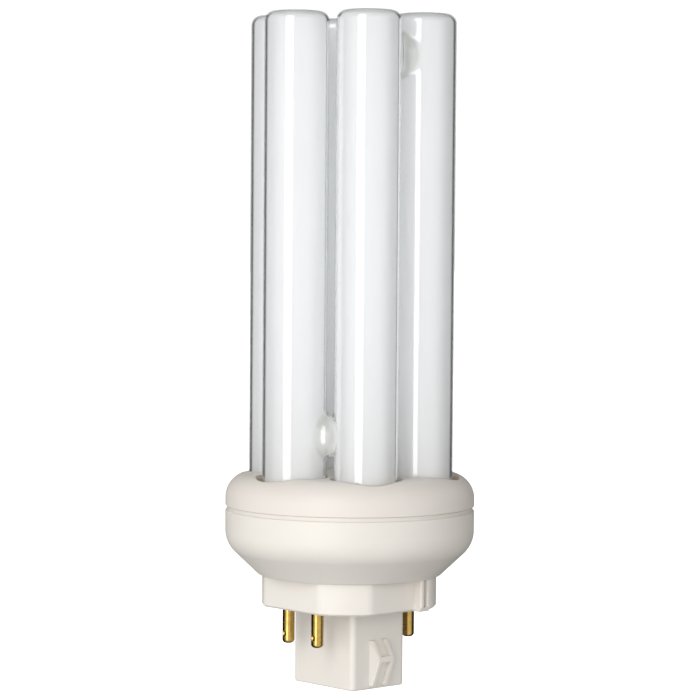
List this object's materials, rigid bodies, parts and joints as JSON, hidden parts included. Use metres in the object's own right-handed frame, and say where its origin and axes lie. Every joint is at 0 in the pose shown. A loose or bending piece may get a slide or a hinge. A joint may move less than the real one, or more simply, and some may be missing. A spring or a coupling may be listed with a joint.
{
  "type": "compact fluorescent lamp",
  "caption": "Plug-in compact fluorescent lamp: upright white glass legs bridged into one folded tube, in a round ivory cap with brass contact pins and a keyed locking post.",
  "frame": {"origin": "on the lamp's axis, in the seat plane: the underside of the cap's skirt", "axes": "+Z along the lamp's axis towards the tubes, X across the two pin rows, Y along each row"},
  "size_m": [0.049, 0.049, 0.1312],
  "materials": {
    "coated_glass": "clear gloss over a white powder coating",
    "ivory_plastic": "satin moulded",
    "cement": "dull, brown",
    "pin_brass": "bright",
    "lead_wire": "drawn"
  },
  "bodies": {
    "root": {"discharge_tube": "coated_glass", "top_collar": "ivory_plastic", "base_housing": "ivory_plastic", "fixing_cement": "cement", "contact_pin_1": "pin_brass", "contact_pin_2": "pin_brass", "contact_pin_3": "pin_brass", "contact_pin_4": "pin_brass", "lead_wire_1": "lead_wire", "lead_wire_2": "lead_wire", "lead_wire_3": "lead_wire", "lead_wire_4": "lead_wire"}
  },
  "joints": []
}
